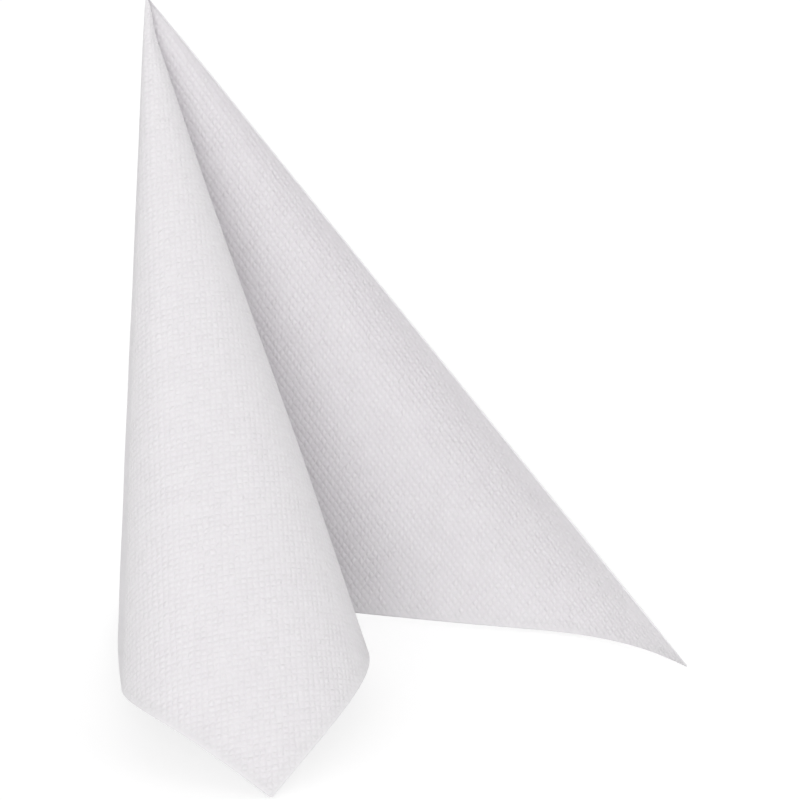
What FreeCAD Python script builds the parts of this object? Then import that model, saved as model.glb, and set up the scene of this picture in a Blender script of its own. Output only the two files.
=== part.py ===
# A paper table napkin, folded so that it stands up by itself.
#
# The paper is a square napkin that comes folded into a quarter. Opened out once it is a
# rectangle two layers thick, with a closed long edge on top. The middle of that closed edge
# becomes the point of the standing napkin, and every fold runs down from the point.
# One half is folded back on itself along its diagonal and makes the wing. The other half
# is rolled round into three panels: a side, a front flap whose square corner touches the
# table, and an inner panel that ends inside, in front of the wing.
#
# Each panel and each soft fold bends evenly, so it is a piece of a round cone: the section of
# the paper turned about the axis of that cone, and cut off along the paper's lower edge.
#
# Millimetres. X to the right, Y away from the viewer, Z up, table at Z = 0.

import math
import os

import FreeCAD
import Part

V = FreeCAD.Vector

# sizes of the paper
QUARTER = 200.0        # side of the folded quarter, half of the open napkin's side
THICK = 0.7            # the two layers of embossed tissue
THICK_POINT = 0.35     # the same two layers where they are pinched at the point
POINT_CUT = 1.2        # how far the worn point stops short of where all folds would meet
POINT_PINCH = 20.0     # the paper is pinched thin from the point down to here
POINT_ROUND = 0.23     # tightest bend radius at the point, on the middle of the paper
WING_GAP = 0.4         # air between the wing's tip and the half folded back behind it
WING_GAP_POINT = 0.15  # the same air at the point
SIDE_GATHER = 0.45     # paper gathered in the side panel at the point
FLAP_GATHER = 0.3      # paper gathered in the flap at the point

# Folds, as seen from the point. Places and spans are degrees round the point, counted from
# the fold at the wing's tip: the middle crease is at 45, the napkin's square corner at 90 and
# the other end of the closed edge at 135. Turns are degrees to the left, seen from above.
CREASE_DEG = 45.0
CORNER_DEG = 90.0
CLOSED_EDGE_DEG = 135.0
TIP_CURL_SPAN_DEG = 9.9     # the wing's outer end curls forward over this span
TIP_CURL_TURN_DEG = 57.0
WING_TURN_DEG = -18.0       # the rest of the wing is a shallow curve the other way
CREASE_SPAN_DEG = 1.5       # the middle crease, where the wing meets the side panel
CREASE_TURN_DEG = 113.8
SIDE_TURN_DEG = 9.2         # slight belly of the side panel
LEFT_DEG = 81.8             # soft fold between the side panel and the flap
LEFT_SPAN_DEG = 7.9
LEFT_TURN_DEG = 82.3
FLAP_TURN_DEG = 19.4        # round front of the flap
RIGHT_DEG = 102.4           # wide roll that carries the flap round to the inner panel
RIGHT_SPAN_DEG = 19.7
RIGHT_TURN_DEG = 104.4
INNER_TURN_DEG = 1.2        # the inner panel is nearly flat
HEADING_DEG = -29.0         # where the wing's tip points, from X


def spun(v, axis, angle):
    """Vector v turned about a unit axis by an angle in radians."""
    c, s = math.cos(angle), math.sin(angle)
    return v * c + axis.cross(v) * s + axis * (axis.dot(v) * (1.0 - c))


def reach(place, middle):
    """From the point to the lower edge, whose nearest place to the point is the middle."""
    return QUARTER / math.cos(math.radians(place - middle))


def half_thick(r):
    """Half the thickness of the paper at a distance r from the point."""
    pinch = max(0.0, (POINT_PINCH - r) / (POINT_PINCH - POINT_CUT))
    return (THICK - (THICK - THICK_POINT) * pinch) / 2.0


def apart(r):
    """From the middle of the wing to the middle of the half behind it."""
    tip = reach(0.0, CREASE_DEG)
    return 2.0 * half_thick(r) + WING_GAP_POINT + (WING_GAP - WING_GAP_POINT) * r / tip


class Ray:
    """One straight line down the paper. Its face looks out of the roll."""

    def __init__(self, start, down, over, foot):
        self.start, self.down, self.over, self.foot = start, down, over, foot
        self.face = down.cross(over)

    def at(self, r, height=0.0):
        return self.start + self.down * r + self.face * height

    def outline(self, layer, foot=None):
        """The paper's outline along this line, outer skin first. Layer 0 is the sheet from
        the wing to the inner panel, layer 1 the half behind the wing."""
        outer, inner = [], []
        for r in (POINT_CUT, POINT_PINCH, foot or self.foot):
            outer.append(self.at(r, layer * apart(r) + half_thick(r)))
            inner.append(self.at(r, layer * apart(r) - half_thick(r)))
        return outer + inner[::-1]


class Bend:
    """A stretch of paper that bends evenly about the axis of its cone."""

    def __init__(self, start, along, across, first, last, turn, gather):
        width = math.radians(last - first)
        bend = -math.radians(turn) / width
        self.first, self.last = first, last
        self.speed = math.sqrt(1.0 + bend * bend)
        self.axis = (along * bend + along.cross(across)) * (1.0 / self.speed)
        self.start, self.along, self.across = start, along, across
        # the lines of a gathered stretch start on a small circle about the axis
        self.centre = start + self.axis.cross(across) * (gather / width / self.speed)
        self.middle = CREASE_DEG if last <= CORNER_DEG else CLOSED_EDGE_DEG

    def angle(self, place):
        return self.speed * math.radians(place - self.first)

    def ray(self, place):
        angle = self.angle(place)
        start = self.centre + spun(self.start - self.centre, self.axis, angle)
        return Ray(start, spun(self.along, self.axis, angle),
                   spun(self.across, self.axis, angle), reach(place, self.middle))

    def rays(self, steps, run_on=0.0):
        """Even lines, and one more past each end when the stretch is run on."""
        span = self.last - self.first
        places = [self.first + span * i / steps for i in range(steps + 1)]
        if run_on:
            places = [self.first - run_on] + places + [self.last + run_on]
        return [self.ray(p) for p in places]


def bends():
    """The stretches of paper from the wing's tip to the end of the inner panel."""
    crease = (CREASE_DEG - CREASE_SPAN_DEG / 2.0, CREASE_DEG + CREASE_SPAN_DEG / 2.0)
    left = (LEFT_DEG - LEFT_SPAN_DEG / 2.0, LEFT_DEG + LEFT_SPAN_DEG / 2.0)
    right = (RIGHT_DEG - RIGHT_SPAN_DEG / 2.0, RIGHT_DEG + RIGHT_SPAN_DEG / 2.0)
    plain = [
        (0.0, TIP_CURL_SPAN_DEG, TIP_CURL_TURN_DEG, None),
        (TIP_CURL_SPAN_DEG, crease[0], WING_TURN_DEG, 0.0),
        crease + (CREASE_TURN_DEG, None),
        (crease[1], left[0], SIDE_TURN_DEG, SIDE_GATHER),
        left + (LEFT_TURN_DEG, None),
        (left[1], right[0], FLAP_TURN_DEG, FLAP_GATHER),
        right + (RIGHT_TURN_DEG, None),
        (right[1], CLOSED_EDGE_DEG, INNER_TURN_DEG, 0.0),
    ]
    start, along, across = V(0, 0, 0), V(1, 0, 0), V(0, 1, 0)
    out = []
    for first, last, turn, gather in plain:
        if gather is None:
            # a fold needs enough paper at the point not to be bent too tight there
            there = POINT_CUT * math.radians(last - first)
            gather = max(0.0, POINT_ROUND * math.radians(abs(turn)) - there)
        # the lower edge turns the napkin's square corner, so a stretch ends there
        cuts = [first, last]
        if first < CORNER_DEG < last:
            cuts.insert(1, CORNER_DEG)
        for a, b in zip(cuts, cuts[1:]):
            share = (b - a) / (last - first)
            out.append(Bend(start, along, across, a, b, turn * share, gather * share))
            end = out[-1].ray(b)
            start, along, across = end.start, end.down, end.over
    return out


def edge_through(points):
    """A straight edge when the points are in line, a smooth one when they are not."""
    chord = points[-1] - points[0]
    if max(p.distanceToLine(points[0], chord) for p in points) < 1e-4:
        return Part.makeLine(points[0], points[-1])
    line = Part.BSplineCurve()
    even = [i / (len(points) - 1.0) for i in range(len(points))]
    line.interpolate(Points=points, Parameters=even)
    return line.toShape()


def joined(outlines):
    """The faces that join the same outline on one line after another."""
    edges = [edge_through(row) for row in zip(*outlines)]
    return [Part.makeRuledSurface(a, b) for a, b in zip(edges, edges[1:] + edges[:1])]


def flat(points):
    return Part.Face(Part.makePolygon(points + points[:1]))


def turned(bend, layer):
    """The skins and cut edges of a stretch that is a piece of a cone."""
    longest = max(reach(place, bend.middle) for place in (bend.first, bend.last))
    section = flat(bend.ray(bend.first).outline(layer, 1.02 * longest))
    block = section.revolve(bend.centre, bend.axis, math.degrees(bend.angle(bend.last)))
    # what lies past the lower edge is cut away
    high = 5.0 * (THICK + WING_GAP)
    past = [[ray.at(ray.foot, high), ray.at(1.05 * longest, high),
             ray.at(1.05 * longest, -high), ray.at(ray.foot, -high)]
            for ray in bend.rays(8, 1.0)]
    shell = Part.makeShell(joined(past) + [flat(past[0]), flat(past[-1])])
    shell.sewShape()
    kept = block.cut(Part.Solid(shell))
    return [face for face in kept.Faces if not isinstance(face.Surface, Part.Plane)]


def tip_fold(edge):
    """The round fold at the wing's tip, from the wing to the half behind it."""
    outlines = []
    for i in range(9):
        angle = math.pi * i / 8.0
        face = edge.face * math.cos(angle) + edge.over * math.sin(angle)
        outer, inner = [], []
        for r in (POINT_CUT, POINT_PINCH, edge.foot):
            middle = edge.at(r) + (edge.face - face) * (apart(r) / 2.0)
            outer.append(middle + face * half_thick(r))
            inner.append(middle - face * half_thick(r))
        outlines.append(outer + inner[::-1])
    return joined(outlines)


def standing(paper):
    """How the paper turns to stand on the wing's tip, the foot of the crease and the corner."""
    def foot(place):
        ray = [b for b in paper if b.first <= place <= b.last][0].ray(place)
        return ray.at(ray.foot)

    tip = foot(0.0)
    up = (foot(CREASE_DEG) - tip).cross(foot(CORNER_DEG) - tip)
    if up.dot(tip) > 0:
        up = up * -1.0
    up.normalize()
    out = tip - up * tip.dot(up)
    out.normalize()
    turn = math.radians(HEADING_DEG)
    east = out * math.cos(turn) - up.cross(out) * math.sin(turn)
    north = up.cross(east)
    return FreeCAD.Matrix(east.x, east.y, east.z, 0, north.x, north.y, north.z, 0,
                          up.x, up.y, up.z, 0, 0, 0, 0, 1)


def napkin():
    paper = bends()
    wing = [b for b in paper if b.last < CREASE_DEG]
    faces = tip_fold(paper[0].ray(0.0))
    for bend in paper:
        if bend.first < CREASE_DEG < bend.last:
            faces += joined([ray.outline(0) for ray in bend.rays(8)])
        else:
            faces += turned(bend, 0)
    for bend in wing:
        faces += turned(bend, 1)
    # both ends of the closed edge: behind the wing and inside the roll
    faces.append(flat(wing[-1].ray(wing[-1].last).outline(1)))
    faces.append(flat(paper[-1].ray(paper[-1].last).outline(0)))
    shell = Part.makeShell(faces)
    shell.sewShape(0.001)
    solid = Part.Solid(shell).transformed(standing(paper))
    if solid.Volume < 0:
        solid.reverse()
    box = solid.optimalBoundingBox(False)
    solid.translate(V(-box.Center.x, -box.Center.y, -box.ZMin))
    return solid


os.makedirs("parts", exist_ok=True)
shape = napkin()
print("valid", shape.isValid(), "volume", round(shape.Volume, 1))
print("box", shape.optimalBoundingBox(False))
shape.exportStep("parts/napkin.step")
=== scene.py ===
# The looks of a folded paper napkin: the same sheet as the solid, on a finer grid, with its
# round closed edges, its two leaves at the cut edge and its embossed tissue.
# Lengths in the layout are millimetres and angles are degrees, until points go into the mesh.

import math

import bpy
from mathutils import Matrix
from mathutils import Vector as V
from mathutils import noise


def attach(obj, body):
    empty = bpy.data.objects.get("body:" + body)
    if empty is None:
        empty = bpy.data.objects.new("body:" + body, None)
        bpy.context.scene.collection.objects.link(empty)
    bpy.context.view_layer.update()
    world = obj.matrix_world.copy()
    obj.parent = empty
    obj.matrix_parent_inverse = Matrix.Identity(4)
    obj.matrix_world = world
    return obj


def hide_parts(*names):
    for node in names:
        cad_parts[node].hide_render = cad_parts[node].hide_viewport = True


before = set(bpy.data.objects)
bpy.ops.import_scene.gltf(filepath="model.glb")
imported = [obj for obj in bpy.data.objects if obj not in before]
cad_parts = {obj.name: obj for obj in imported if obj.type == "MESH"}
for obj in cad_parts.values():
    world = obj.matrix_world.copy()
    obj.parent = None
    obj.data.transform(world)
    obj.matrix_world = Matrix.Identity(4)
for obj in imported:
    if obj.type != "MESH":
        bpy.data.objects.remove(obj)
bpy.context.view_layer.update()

# ---- the sheet, with the values of the solid ----
QUARTER = 200.0         # side of the folded quarter
NAPKIN = 2.0 * QUARTER  # side of the open napkin
THICK = 0.7             # the two layers
THICK_POINT = 0.35      # where the paper is pinched at the point
POINT_CUT = 1.2         # how far the point stops short of where all folds would meet
POINT_PINCH = 20.0      # the pinch ends here
POINT_ROUND = 0.23      # tightest bend radius at the point
WING_GAP = 0.4          # air between the wing's tip and the half behind it
WING_GAP_POINT = 0.15   # the same air at the point
CREASE = 45.0           # places round the point, counted from the fold at the wing's tip
CORNER = 90.0
CLOSED_EDGE = 135.0
TIP_CURL_WIDTH = 9.9    # widths and turns of the stretches, in the order of the sheet
TIP_CURL_TURN = 57.0
WING_TURN = -18.0
CREASE_WIDTH = 1.5
CREASE_TURN = 113.8
SIDE_TURN = 9.2
SIDE_GATHER = 0.45      # paper gathered at the point
LEFT_PLACE = 81.8
LEFT_WIDTH = 7.9
LEFT_TURN = 82.3
FLAP_TURN = 19.4
FLAP_GATHER = 0.3
RIGHT_PLACE = 102.4
RIGHT_WIDTH = 19.7
RIGHT_TURN = 104.4
INNER_TURN = 1.2
HEADING = -29.0         # where the wing's tip points, from X

# ---- finer detail of the real sheet ----
CORNER_ROUND = 1.0      # the paper's square corners are worn round
LEAF_OPEN = 0.16        # the two leaves stand apart at the cut edge
LEAF_DEPTH = 5.0        # and close up again this far in
LEAF_BACK = 0.45        # the inner leaf ends this much short of the outer one
WAVE = 0.28             # soft unevenness of the panels
WAVE_LONG = 70.0        # the lengths of its waves
WAVE_SHORT = 24.0
WAVE_FROM = (15.0, 110.0)                   # from none to full, down from the point
WAVE_CALM = ((0.0, 7.0), (CREASE, 5.0), (LEFT_PLACE, 7.0), (RIGHT_PLACE, 12.0))
TIGHTER = 1.75          # the roll is drawn in this much near the point
TIGHTER_FROM = (1.0, 17.0)                  # from none to full, down from the point
TIGHTER_TO = (60.0, 190.0)                  # from full to none
POINT_END = 0.5         # the worn fibres of the point reach up to here
FOLD_SHARP = 0.55       # the fold at the wing's tip is pressed sharper than round
FOLD_PRESS = 6.0        # it is thinner over this width
FOLD_THIN = 0.42        # by this share of its thickness
FOLD_EDGE = 2.0         # and over this width
FOLD_EDGE_THIN = 0.22   # by this share more
TIP_PRESS = 30.0        # the wing's tip is pressed thin over this length at the table
TIP_WIDTH = 7.0         # and this width, in degrees
TIP_THIN = 0.45         # by this share
MARK_WIDE = 3.0         # the net is pressed flatter this near to a fold or an edge
RIM_FROM = 30.0         # the round rim of a closed edge is full this far down the point
EDGE_TRIM = 0.8         # degrees of a closed edge that its round rim takes the place of

# ---- how fine the grid is ----
POINT_ROWS = 10         # along the pinch at the point
LONG_ROWS = 56          # along the rest of a line
LEAF_ROWS = (0.3, 0.6, 0.85, 1.0)
LIP_TURNS = (36, 72, 108, 144)
WORN_PLACES = (0.05, 0.1, 0.15)     # degrees beside a round corner
FOLD_LINES = 12         # round the fold at the wing's tip
RIM_TURNS = (90.0, 62.0, 38.0, 16.0, 5.0)

# ---- the embossed net ----
CELL_WIDE = 2.4         # one lozenge
CELL_TALL = 3.0
EMBOSS = 0.00021        # metres that its middle stands up
FUZZ = 0.00004          # metres that the fibres stand up
TONE_LOW = (0.765, 0.742, 0.765, 1)
TONE_HIGH = (0.815, 0.797, 0.815, 1)


def spun(v, axis, angle):
    """Vector v turned about a unit axis by an angle in radians."""
    c, s = math.cos(angle), math.sin(angle)
    return v * c + axis.cross(v) * s + axis * (axis.dot(v) * (1.0 - c))


def smooth(x, low, high):
    """0 below low, 1 above high, and a soft step between them."""
    x = min(1.0, max(0.0, (x - low) / (high - low)))
    return x * x * (3.0 - 2.0 * x)


def reach(place):
    """Distance from the point to the cut edge, with the square corners a little round."""
    place = abs(place)
    for corner in (0.0, CORNER):
        lean = math.radians(place - corner)
        middle = QUARTER * math.sqrt(2.0) - CORNER_ROUND * math.sqrt(2.0)
        if abs(math.sin(lean)) * middle < CORNER_ROUND * math.sqrt(0.5):
            return middle * math.cos(lean) + math.sqrt(
                CORNER_ROUND ** 2 - (middle * math.sin(lean)) ** 2)
    nearest = CREASE if place <= CORNER else CLOSED_EDGE
    return QUARTER / math.cos(math.radians(place - nearest))


class Line:
    """One straight line of the paper from the point to the cut edge."""

    def __init__(self, place, start, down, over, shift=0.0, arc=0.0):
        self.place = place
        self.start = start
        self.down = down
        self.over = over
        self.face = down.cross(over)
        self.shift = shift      # how far it is moved off the wing, as a share of the gap
        self.way = V((0, 0, 0))
        self.arc = arc          # paper used up by the fold at the wing's tip, same share
        self.inset = 0.0        # how far a rim line lies inside the closed edge
        self.thin = 1.0         # the rim's thickness, as a share
        self.edge_way = V((0, 0, 0))


def bends():
    """First and last place, turn, gather and grid steps of each stretch of the sheet."""
    crease = (CREASE - CREASE_WIDTH / 2.0, CREASE + CREASE_WIDTH / 2.0)
    left = (LEFT_PLACE - LEFT_WIDTH / 2.0, LEFT_PLACE + LEFT_WIDTH / 2.0)
    right = (RIGHT_PLACE - RIGHT_WIDTH / 2.0, RIGHT_PLACE + RIGHT_WIDTH / 2.0)
    plain = [
        (0.0, TIP_CURL_WIDTH, TIP_CURL_TURN, None, 14),
        (TIP_CURL_WIDTH, crease[0], WING_TURN, 0.0, 26),
        crease + (CREASE_TURN, None, 14),
        (crease[1], left[0], SIDE_TURN, SIDE_GATHER, 24),
        left + (LEFT_TURN, None, 16),
        (left[1], right[0], FLAP_TURN, FLAP_GATHER, 8),
        right + (RIGHT_TURN, None, 30),
        (right[1], CLOSED_EDGE, INNER_TURN, 0.0, 18),
    ]
    out = []
    for first, last, turn, gather, steps in plain:
        if gather is None:
            there = POINT_CUT * math.radians(last - first)
            gather = max(0.0, POINT_ROUND * math.radians(abs(turn)) - there)
        cuts = [first, last]
        if first < CORNER < last:
            cuts.insert(1, CORNER)
        for a, b in zip(cuts, cuts[1:]):
            share = (b - a) / (last - first)
            out.append((a, b, turn * share, gather * share, steps))
    return out


def places_in(first, last, steps):
    """Even places, and a few more where the paper's square corner is round."""
    even = [first + (last - first) * i / steps for i in range(steps + 1)]
    worn = [corner + s * lean for corner in (0.0, CORNER) for s in (-1, 1)
            for lean in WORN_PLACES]
    return sorted(set(even + [p for p in worn if first < p < last]))


def roll():
    """All lines from the wing's tip to the end of the inner panel."""
    start, along, across = V((0, 0, 0)), V((1, 0, 0)), V((0, 1, 0))
    lines = []
    for first, last, turn, gather, steps in bends():
        width = math.radians(last - first)
        bend = -math.radians(turn) / width
        speed = math.sqrt(1.0 + bend * bend)
        axis = (along * bend + along.cross(across)) / speed
        side = axis.cross(across)
        for place in places_in(first, last, steps):
            angle = speed * math.radians(place - first)
            way = across * math.sin(angle) + side * (1.0 - math.cos(angle))
            here = start + way * (gather / width / speed)
            line = Line(place, here, spun(along, axis, angle), spun(across, axis, angle))
            if not lines or place > lines[-1].place + 1e-9:
                lines.append(line)
        start, along, across = here, line.down, line.over
    return lines


def stand(lines):
    """Stand the sheet on the wing's tip, the foot of the crease and the corner."""
    def foot(place):
        line = min(lines, key=lambda l: abs(l.place - place))
        square = CREASE if place <= CORNER else CLOSED_EDGE
        return line.start + line.down * (QUARTER / math.cos(math.radians(place - square)))

    tip = foot(0.0)
    up = (foot(CREASE) - tip).cross(foot(CORNER) - tip)
    if up.dot(tip) > 0:
        up = -up
    up.normalize()
    out = (tip - up * tip.dot(up)).normalized()
    turn = math.radians(HEADING)
    east = out * math.cos(turn) - up.cross(out) * math.sin(turn)
    north = up.cross(east)

    def placed(v):
        return V((v.dot(east), v.dot(north), v.dot(up)))

    for line in lines:
        line.start, line.down, line.over = (
            placed(line.start), placed(line.down), placed(line.over))
        line.face = line.down.cross(line.over)
    return lines


def thickness(r):
    share = min(1.0, (r - POINT_CUT) / (POINT_PINCH - POINT_CUT))
    return THICK_POINT + (THICK - THICK_POINT) * share


def apart(r):
    """From the middle of the wing to the middle of the half behind it."""
    return thickness(r) + WING_GAP_POINT + (WING_GAP - WING_GAP_POINT) * r / edge_length


def press(line, r):
    """How much of its thickness the paper keeps at the fold and at the wing's tip."""
    tip = smooth(r, edge_length - TIP_PRESS, edge_length - 2.0)
    tip *= 1.0 - smooth(abs(line.place), 0.5, TIP_WIDTH)
    away = abs(math.radians(line.place)) * r
    fold = (FOLD_THIN * (1.0 - smooth(away, 0.3, FOLD_PRESS))
            + FOLD_EDGE_THIN * (1.0 - smooth(away, 0.0, FOLD_EDGE)))
    return (1.0 - TIP_THIN * tip) * (1.0 - fold)


def behind(lines):
    """The half folded back behind the wing, from its closed edge to the fold at the tip."""
    wing = [l for l in lines if l.place <= CREASE - CREASE_WIDTH / 2.0 + 1e-9]
    out = []
    for line in reversed(wing):
        back = Line(-line.place, line.start, line.down, line.over, 1.0, 1.0)
        back.way = line.face.copy()
        back.face = -line.face
        out.append(back)
    edge = wing[0]
    for i in range(FOLD_LINES - 1, 0, -1):
        angle = math.pi * i / FOLD_LINES
        fold = Line(0.0, edge.start, edge.down, edge.over, 0.5, angle / math.pi)
        fold.face = edge.face * math.cos(angle) + edge.over * math.sin(angle)
        fold.way = (edge.face * (1.0 - math.cos(angle))
                    - edge.over * (FOLD_SHARP * math.sin(angle)))
        out.append(fold)
    return out


def rims(end):
    """The round closed edge: lines side by side, thinner towards the edge."""
    made = []
    for lean in RIM_TURNS:
        rim = Line(end.place, end.start, end.down, end.over, end.shift, end.arc)
        rim.face, rim.way, rim.edge_way = end.face.copy(), end.way.copy(), end.over
        rim.inset = THICK / 2.0 * (1.0 - math.cos(math.radians(lean)))
        rim.thin = math.sin(math.radians(lean))
        made.append(rim)
    return made


edge_length = QUARTER / math.cos(math.radians(CREASE))
sheet = stand(roll())
folded = behind(sheet)

# the place of the solid: its box is centred over the origin and stands on the table
corners = []
for line in folded + sheet:
    place = abs(line.place)
    square = CREASE if place <= CORNER else CLOSED_EDGE
    full = QUARTER / math.cos(math.radians(place - square))
    for r in (POINT_CUT, POINT_PINCH, full):
        for skin in (1, -1):
            corners.append(line.start + line.down * r
                           + line.way * (line.shift * apart(r))
                           + line.face * (skin * thickness(r) / 2.0))
low = V([min(c[i] for c in corners) for i in range(3)])
high = V([max(c[i] for c in corners) for i in range(3)])
home = V((-(low.x + high.x) / 2.0, -(low.y + high.y) / 2.0, -low.z))

first, last = folded[0], sheet[-1]
chain = (rims(first)[::-1]
         + [l for l in folded if abs(l.place) < abs(first.place) - EDGE_TRIM]
         + [l for l in sheet if l.place < CLOSED_EDGE - EDGE_TRIM]
         + rims(last))


def wave(line, r):
    """Soft unevenness: none near the point, and little at the folds."""
    place = abs(line.place)
    calm = smooth(r, *WAVE_FROM)
    for middle, width in WAVE_CALM:
        calm *= 0.25 + 0.75 * smooth(abs(place - middle), 0.0, width)
    x, y = r * math.sin(math.radians(place)), r * math.cos(math.radians(place))
    slow = noise.noise(V((x / WAVE_LONG, y / WAVE_LONG, 3.7)))
    fine = noise.noise(V((x / WAVE_SHORT, y / WAVE_SHORT, 8.1)))
    return WAVE * calm * (2.0 * slow + 0.6 * fine)


def drawn_in(line, r):
    """Near the point the roll is tighter than a plain cone."""
    if line.place < LEFT_PLACE:
        return 0.0
    amount = smooth(line.place, LEFT_PLACE + 2.0, RIGHT_PLACE - 4.0)
    amount *= 1.0 - smooth(line.place, RIGHT_PLACE + 8.0, CLOSED_EDGE - 2.0)
    return TIGHTER * amount * smooth(r, *TIGHTER_FROM) * (1.0 - smooth(r, *TIGHTER_TO))


def section(line, index):
    """The closed outline of the sheet along one line: pairs of (distance, height)."""
    length = reach(line.place)
    # the opening and the step between the leaves wander slowly along the edge
    where = index * 0.11
    opening = LEAF_OPEN * (0.75 + 0.9 * noise.noise(V((where, 0.3, 5.0))))
    back = LEAF_BACK * (0.8 + 0.9 * noise.noise(V((where * 0.7, 4.4, 1.0))))
    if line.inset or line.thin < 1.0:
        opening *= 0.3 * line.thin
    opening, back = max(0.03, opening) * line.thin, max(0.08, back)

    def gap(r):
        return opening * max(0.0, (r - (length - LEAF_DEPTH)) / LEAF_DEPTH) ** 1.5

    def half(r):
        return thickness(r) / 2.0 * line.thin + gap(r) * 0.5

    open_from = length - LEAF_DEPTH
    lip = (half(length) - gap(length) / 2.0) / 2.0
    centre = gap(length) / 2.0 + lip
    end_out, end_in = length - lip, length - back - lip

    def leaf(end):
        return [open_from + (end - length + LEAF_DEPTH) * s for s in LEAF_ROWS]

    def slit(r):
        return max(gap(r) / 2.0, 0.004)

    def lip_at(end, turn):
        """Where the round lip of a leaf is, this many degrees from its face."""
        turn = math.radians(turn)
        return end + lip * math.sin(turn), centre + lip * math.cos(turn)

    top = [POINT_END + (POINT_PINCH - POINT_END) * (i / POINT_ROWS) ** 1.3
           for i in range(POINT_ROWS)]
    long = [POINT_PINCH + (open_from - POINT_PINCH) * i / LONG_ROWS
            for i in range(LONG_ROWS + 1)]
    out = [(r, half(r)) for r in top + long + leaf(end_out)]
    out += [lip_at(end_out, a) for a in LIP_TURNS]
    out += [(r, slit(r)) for r in leaf(end_out)[::-1]]
    out += [(open_from, 0.0)]
    out += [(r, -slit(r)) for r in leaf(end_in)]
    for a in LIP_TURNS[::-1]:
        r, height = lip_at(end_in, a)
        out.append((r, -height))
    out += [(r, -half(r)) for r in (top + long + leaf(end_in))[::-1]]
    return out, length


points, flats, marks, count = [], [], [], 0
for index, line in enumerate(chain):
    outline, length = section(line, index)
    count = len(outline)
    for r, height in outline:
        kept = press(line, r)
        gap_here = apart(r) * kept
        height *= kept
        near_point = min(1.0, r / RIM_FROM)
        # the two halves of the wing are pressed towards each other
        wing_part = 1.0 - smooth(abs(line.place), 20.0, CREASE)
        bulge = wave(line, r) + (apart(r) - gap_here) / 2.0 * wing_part
        wing_face = line.face if line.place > 0 or not line.shift else (
            -line.face if line.shift == 1.0 else sheet[0].face)
        p = (line.start + line.down * r + line.way * (line.shift * gap_here)
             + line.face * height + wing_face * bulge
             - line.edge_way * line.inset * near_point
             - V((1, 0, 0)) * drawn_in(line, r))
        points.append((p + home) * 0.001)
        # where the same spot is on the opened sheet
        lean = math.radians(line.place - CREASE)
        flat = V((r * math.sin(lean), r * math.cos(lean)))
        spent = line.arc * math.pi * gap_here / 2.0
        flat -= V((math.cos(math.radians(CREASE)), math.sin(math.radians(CREASE)))) * spent
        flats.append((flat.x / NAPKIN + 0.5, 0.5 - flat.y / NAPKIN))
        folds = min(abs(abs(line.place) - m) * math.radians(1) * r
                    for m in (0.0, CREASE, CLOSED_EDGE))
        marks.append(1.0 - smooth(min(folds, length - r), 0.0, MARK_WIDE))

faces = []
for i in range(len(chain) - 1):
    for j in range(count):
        k = (j + 1) % count
        faces.append((i * count + j, i * count + k, (i + 1) * count + k, (i + 1) * count + j))
# both closed edges end in a narrow strip between the two skins, and one in each leaf
parting = POINT_ROWS + LONG_ROWS    # the row where the leaves part
middle = (count - 1) // 2
rows = len(LEAF_ROWS)
for i, flip in ((0, False), (len(chain) - 1, True)):
    strip = [(a, a + 1, count - 2 - a, count - 1 - a) for a in range(parting)]
    strip.append((parting, middle, count - 1 - parting))
    for a in range(rows):
        strip.append((parting + a, parting + a + 1, middle - a - 1, middle - a))
        strip.append((middle + a, middle + a + 1,
                      count - 2 - parting - a, count - 1 - parting - a))
    strip.append(tuple(range(parting + rows, middle - rows + 1)))
    strip.append(tuple(range(middle + rows, count - parting - rows)))
    faces += [tuple(i * count + v for v in (f if flip else f[::-1])) for f in strip]

mesh = bpy.data.meshes.new("tissue_sheet")
mesh.from_pydata(points, [], faces)
mesh.validate()
uv = mesh.uv_layers.new(name="flat")
for loop in mesh.loops:
    uv.data[loop.index].uv = flats[loop.vertex_index]
pressed = mesh.attributes.new("pressed", "FLOAT", "POINT")
pressed.data.foreach_set("value", marks)
mesh.polygons.foreach_set("use_smooth", [True] * len(mesh.polygons))
mesh.set_sharp_from_angle(angle=math.radians(55))
mesh.update()
paper = bpy.data.objects.new("tissue_sheet", mesh)
bpy.context.scene.collection.objects.link(paper)


# ---- materials ----
def tree_of(name):
    """A new material and its empty node tree."""
    material = bpy.data.materials.new(name)
    material.use_nodes = True
    material.node_tree.nodes.clear()
    return material, material.node_tree


def add(tree, kind, inputs=None, **settings):
    """A new node. An input is a value, or the output of another node."""
    node = tree.nodes.new("ShaderNode" + kind)
    for key, value in settings.items():
        setattr(node, key, value)
    for key, value in (inputs or {}).items():
        if isinstance(value, bpy.types.NodeSocket):
            tree.links.new(value, node.inputs[key])
        else:
            node.inputs[key].default_value = value
    return node


def calc(tree, operation, a, b=0.0):
    return add(tree, "Math", {0: a, 1: b}, operation=operation).outputs[0]


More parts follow.
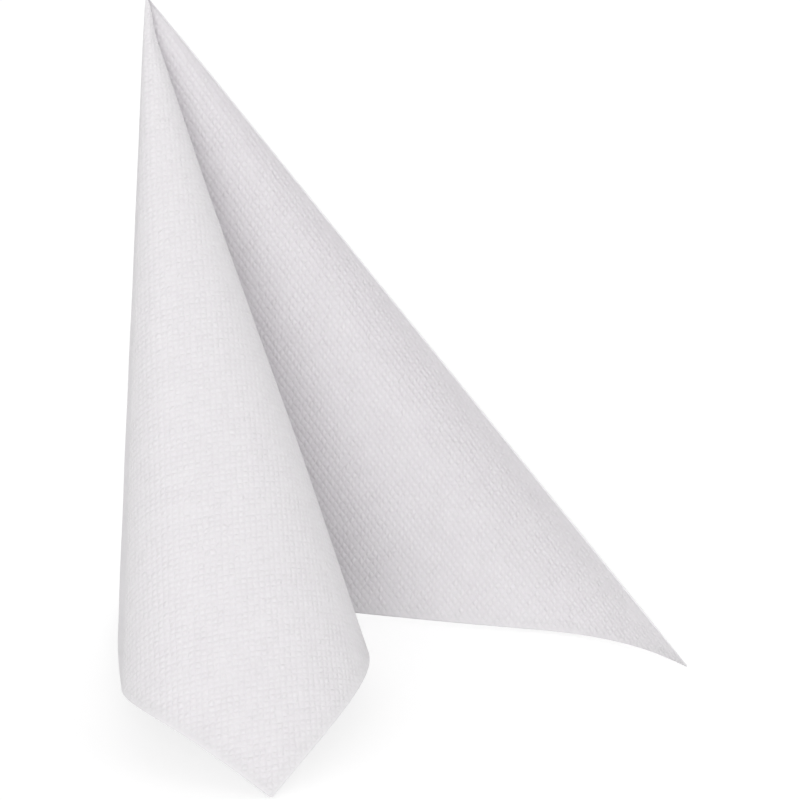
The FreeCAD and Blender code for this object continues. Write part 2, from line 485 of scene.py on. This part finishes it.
def tissue():
    """Embossed tissue, laid out on the opened sheet in millimetres."""
    material, t = tree_of("tissue_paper")
    flat = add(t, "UVMap", uv_map="flat").outputs[0]
    axes = add(t, "SeparateXYZ", {0: flat})
    x = calc(t, "MULTIPLY", axes.outputs[0], NAPKIN)
    y = calc(t, "MULTIPLY", axes.outputs[1], NAPKIN)
    sheet_mm = add(t, "CombineXYZ", {0: x, 1: y}).outputs[0]

    # the rollers don't press every lozenge alike, so the net wanders and its cells differ
    wander = add(t, "TexNoise", {"Vector": sheet_mm, "Scale": 0.35, "Detail": 2.0},
                 noise_dimensions="2D")
    off = calc(t, "MULTIPLY", calc(t, "SUBTRACT", wander.outputs[0], 0.5), 0.5)
    u = calc(t, "ADD", calc(t, "DIVIDE", x, CELL_WIDE), off)
    v = calc(t, "DIVIDE", y, CELL_TALL)
    lines, cells = [], []
    for operation in ("ADD", "SUBTRACT"):
        across = calc(t, operation, u, v)
        lines.append(calc(t, "ABSOLUTE", calc(t, "SINE", calc(t, "MULTIPLY", across, math.pi))))
        cells.append(calc(t, "FLOOR", across))
    cell = add(t, "CombineXYZ", {0: cells[0], 1: cells[1]}).outputs[0]
    chance = add(t, "TexWhiteNoise", {"Vector": cell}, noise_dimensions="2D").outputs[0]
    pillow = calc(t, "POWER", calc(t, "MULTIPLY", lines[0], lines[1]), 0.9)
    pillow = calc(t, "MULTIPLY", pillow, calc(t, "ADD", calc(t, "MULTIPLY", chance, 0.6), 0.7))
    mark = add(t, "Attribute", attribute_name="pressed").outputs["Fac"]
    depth = calc(t, "SUBTRACT", 1.0, calc(t, "MULTIPLY", mark, 0.55))
    net = calc(t, "MULTIPLY", pillow, depth)

    fibre = add(t, "TexNoise", {"Vector": sheet_mm, "Scale": 5.0, "Detail": 5.0,
                                "Roughness": 0.65, "Distortion": 0.6}, noise_dimensions="2D")
    cloud = add(t, "TexNoise", {"Vector": sheet_mm, "Scale": 0.12, "Detail": 4.0},
                noise_dimensions="2D")

    relief = add(t, "Bump", {"Height": net, "Strength": 1.0, "Distance": EMBOSS})
    fuzz = add(t, "Bump", {"Height": fibre.outputs[0], "Strength": 0.5,
                           "Distance": FUZZ, "Normal": relief.outputs[0]})

    tone = calc(t, "ADD", calc(t, "MULTIPLY", cloud.outputs[0], 0.5),
                calc(t, "MULTIPLY", fibre.outputs[0], 0.5))
    tone = calc(t, "ADD", tone, calc(t, "MULTIPLY", mark, 0.12))
    # the raised lozenges are coloured a little lighter than the grooves between them: painted
    # highlight on their tops
    tone = calc(t, "ADD", tone, calc(t, "MULTIPLY", calc(t, "SUBTRACT", net, 0.4), 0.22))
    ramp = add(t, "ValToRGB", {0: tone})
    ramp.color_ramp.elements[0].position = 0.2
    ramp.color_ramp.elements[0].color = TONE_LOW
    ramp.color_ramp.elements[1].position = 0.8
    ramp.color_ramp.elements[1].color = TONE_HIGH
    rough = add(t, "MapRange", {"Value": fibre.outputs[0], "From Min": 0.3, "From Max": 0.7,
                                "To Min": 0.86, "To Max": 0.98})
    skin = add(t, "BsdfPrincipled", {
        "Base Color": ramp.outputs[0], "Roughness": rough.outputs[0],
        "Normal": fuzz.outputs[0], "Specular IOR Level": 0.2,
        "Sheen Weight": 0.30, "Sheen Roughness": 0.6,
        "Subsurface Weight": 0.3, "Subsurface Scale": 0.0007,
        "Subsurface Radius": (1.0, 0.95, 1.0)})
    add(t, "OutputMaterial", {"Surface": skin.outputs[0]})
    return material


def table_top():
    """White to the eye with the napkin's shadow on it; a plain pale floor to all other light."""
    material, t = tree_of("floor_white")
    grain = add(t, "TexNoise", {"Vector": add(t, "NewGeometry").outputs["Position"],
                                "Scale": 900.0, "Detail": 2.0})
    ramp = add(t, "ValToRGB", {0: grain.outputs[0]})
    ramp.color_ramp.elements[0].color = (0.79, 0.79, 0.79, 1)
    ramp.color_ramp.elements[1].color = (0.81, 0.81, 0.81, 1)
    plain = add(t, "BsdfDiffuse", {"Color": ramp.outputs[0]})
    dull = add(t, "BsdfDiffuse", {"Color": (0.32, 0.32, 0.32, 1)})
    glow = add(t, "Emission", {"Color": (0.76, 0.76, 0.76, 1)})
    seen = add(t, "AddShader", {0: dull.outputs[0], 1: glow.outputs[0]})
    path = add(t, "LightPath")
    eye = calc(t, "MAXIMUM", path.outputs["Is Camera Ray"], path.outputs["Is Glossy Ray"])
    both = add(t, "MixShader", {0: eye, 1: plain.outputs[0], 2: seen.outputs[0]})
    add(t, "OutputMaterial", {"Surface": both.outputs[0]})
    return material


paper.data.materials.append(tissue())
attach(paper, "root")
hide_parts("napkin")

# ---- floor, light and camera ----
FLOOR = 6.0             # metres from the middle to its sides
floor_mesh = bpy.data.meshes.new("floor")
floor_mesh.from_pydata([(-FLOOR, -FLOOR, 0), (FLOOR, -FLOOR, 0), (FLOOR, FLOOR, 0),
                        (-FLOOR, FLOOR, 0)], [], [(0, 1, 2, 3)])
floor = bpy.data.objects.new("floor", floor_mesh)
floor_mesh.materials.append(table_top())
bpy.context.scene.collection.objects.link(floor)

FILL = 0.575            # even light from all round
world = bpy.data.worlds.new("studio")
bpy.context.scene.world = world
world.use_nodes = True
w = world.node_tree
w.nodes.clear()
path = add(w, "LightPath")
eye = calc(w, "MAXIMUM", path.outputs["Is Camera Ray"],
           calc(w, "MAXIMUM", path.outputs["Is Glossy Ray"], path.outputs["Is Transmission Ray"]))
even = add(w, "Background", {"Color": (1, 1, 1, 1), "Strength": FILL})
white = add(w, "Background", {"Color": (1, 1, 1, 1), "Strength": 1.0})
add(w, "OutputWorld", {"Surface": add(w, "MixShader", {
    0: eye, 1: even.outputs[0], 2: white.outputs[0]}).outputs[0]})

FRAME = 800.0           # pixels of the picture's side
PITCH = 20.01           # the camera looks this much down, in degrees
YAW = -0.40             # and this much to the right
ROLL = -0.11            # and leans this much
FAR = 1.5               # metres from the camera to the napkin's point
FOCAL = 4554.0          # pixels
POINT_X = 146.68        # where the folds would meet in the picture
POINT_Y = -2.70

aim = (Matrix.Rotation(math.radians(-YAW), 3, "Z")
       @ Matrix.Rotation(math.radians(90.0 - PITCH), 3, "X")
       @ Matrix.Rotation(math.radians(ROLL), 3, "Z"))
right, above, back = aim.col
point = home * 0.001
eye_at = (point + back * FAR - right * ((POINT_X - FRAME / 2.0) / FOCAL * FAR)
          - above * ((FRAME / 2.0 - POINT_Y) / FOCAL * FAR))
lens = bpy.data.cameras.new("camera")
lens.sensor_width = 36.0
lens.lens = FOCAL / FRAME * lens.sensor_width
lens.clip_end = 50.0
camera = bpy.data.objects.new("camera", lens)
camera.location = eye_at
camera.rotation_euler = aim.to_euler()
bpy.context.scene.collection.objects.link(camera)
bpy.context.scene.camera = camera

# large soft lights: strength, softness, degrees to the right of the camera, height
LIGHTS = (("front", 1.22, 38.0, -3.0, 20.0),
          ("left", 0.28, 40.0, -42.0, 20.0),
          ("right", 0.32, 30.0, 64.0, 20.0),
          ("back", 0.60, 90.0, 180.0, 35.0))
for name, energy, soft, side, rise in LIGHTS:
    lamp = bpy.data.lights.new(name, "SUN")
    lamp.energy = energy
    lamp.angle = math.radians(soft)
    light = bpy.data.objects.new(name, lamp)
    side, rise = math.radians(side), math.radians(rise)
    toward = V((math.sin(side) * math.cos(rise), -math.cos(side) * math.cos(rise),
                math.sin(rise)))
    light.rotation_euler = toward.to_track_quat("Z", "Y").to_euler()
    light.location = toward * 2.0
    bpy.context.scene.collection.objects.link(light)

bpy.context.scene.view_settings.view_transform = "Standard"
